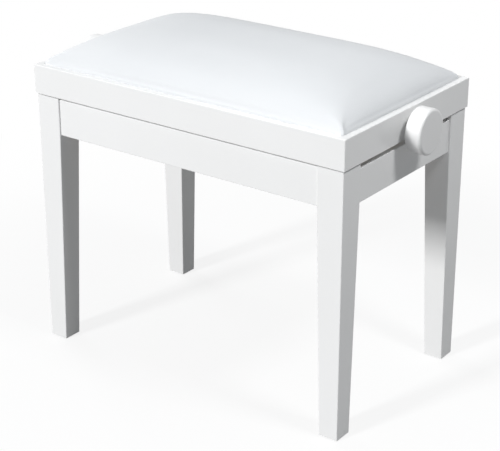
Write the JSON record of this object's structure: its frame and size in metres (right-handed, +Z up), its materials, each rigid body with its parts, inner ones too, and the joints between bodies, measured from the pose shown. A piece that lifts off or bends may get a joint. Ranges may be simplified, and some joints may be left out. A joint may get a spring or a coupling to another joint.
{
  "type": "piano bench",
  "caption": "Height-adjustable piano bench: tapered square legs, aprons, an overhanging seat frame with a crowned padded seat, and side knobs that raise it on a scissor lift.",
  "frame": {"origin": "on the floor under the middle of the seat", "axes": "+X along the seat's length, towards the right-hand knob; the front faces -Y; +Z up"},
  "size_m": [0.6182, 0.33, 0.497],
  "materials": {
    "white_lacquer": "semi-gloss white lacquer on beech",
    "bare_wood": "planed, unfinished beech",
    "plywood": "sanded birch plywood",
    "foam": "open-cell upholstery foam",
    "cover": "matt white leatherette with a fine grain",
    "felt": "pressed wool felt",
    "knob": "turned beech with satin white lacquer",
    "nylon": "moulded nylon",
    "zinc_steel": "zinc-plated steel",
    "bright_steel": "machined steel, lightly oiled"
  },
  "bodies": {
    "base": {"leg_front_left": "white_lacquer", "leg_front_right": "white_lacquer", "leg_rear_left": "white_lacquer", "leg_rear_right": "white_lacquer", "apron_front": "white_lacquer", "apron_rear": "white_lacquer", "apron_left": "white_lacquer", "apron_right": "white_lacquer", "corner_block_front_left": "bare_wood", "corner_block_front_right": "bare_wood", "corner_block_rear_left": "bare_wood", "corner_block_rear_right": "bare_wood", "leg_bolts": "zinc_steel", "leg_bolt_washers": "zinc_steel", "leg_bolt_nuts": "zinc_steel", "foot_pads": "felt", "lower_rail_front": "zinc_steel", "lower_rail_rear": "zinc_steel", "lower_rail_screws": "zinc_steel", "lower_pivot_pins": "zinc_steel", "lower_pivot_spacers": "zinc_steel"},
    "lift_arms": {"lift_arm_front": "zinc_steel", "lift_arm_rear": "zinc_steel", "centre_rod": "zinc_steel", "centre_rod_clips": "zinc_steel"},
    "cross_arms": {"cross_arm_front": "zinc_steel", "cross_arm_rear": "zinc_steel", "slider_rod": "zinc_steel", "slider_spacers": "zinc_steel"},
    "traveller": {"nut_bar": "bright_steel", "nut_bar_spacers": "zinc_steel"},
    "seat": {"seat_rail_front": "white_lacquer", "seat_rail_rear": "white_lacquer", "seat_rail_left": "white_lacquer", "seat_rail_right": "white_lacquer", "glue_block_front_left": "bare_wood", "glue_block_front_right": "bare_wood", "glue_block_rear_left": "bare_wood", "glue_block_rear_right": "bare_wood", "seat_board": "plywood", "seat_foam": "foam", "seat_cover": "cover", "upper_rail_front": "zinc_steel", "upper_rail_rear": "zinc_steel", "upper_rail_screws": "zinc_steel", "board_screws": "zinc_steel", "thrust_bar": "bright_steel", "thrust_bar_spacers": "zinc_steel", "bushing_left": "nylon", "bushing_right": "nylon"},
    "spindle": {"spindle": "bright_steel", "thrust_collars": "zinc_steel", "knob_left": "knob", "knob_right": "knob", "knob_screws": "zinc_steel"}
  },
  "joints": [
    {"name": "lift_arm_pivot", "type": "hinge", "parent": "base", "child": "lift_arms", "pos_m": [-0.14807, 0, 0.372], "axis": [0, -1, 0], "range_deg": [0, 20.28]},
    {"name": "scissor_pivot", "type": "hinge", "parent": "lift_arms", "child": "cross_arms", "pos_m": [0, 0, 0.396], "axis": [0, -1, 0], "range_deg": [-41.06, 0.5]},
    {"name": "seat_pivot", "type": "hinge", "parent": "cross_arms", "child": "seat", "pos_m": [-0.14807, 0, 0.42], "axis": [0, -1, 0], "range_deg": [-0.5, 20.78]},
    {"name": "traveller_pivot", "type": "hinge", "parent": "lift_arms", "child": "traveller", "pos_m": [0.14807, 0, 0.42], "axis": [0, -1, 0], "range_deg": [-20.78, 0.5]},
    {"name": "spindle_turn", "type": "hinge", "parent": "seat", "child": "spindle", "pos_m": [0, 0, 0.42], "axis": [1, 0, 0], "range_deg": [-62.12, 2582.12]}
  ],
  "couplings": [
    {"joint": "scissor_pivot", "follows": "lift_arm_pivot", "ratio": -2},
    {"joint": "seat_pivot", "follows": "lift_arm_pivot", "ratio": 1},
    {"joint": "traveller_pivot", "follows": "lift_arm_pivot", "ratio": -1},
    {"joint": "spindle_turn", "follows": "lift_arm_pivot", "ratio": 124.25}
  ]
}
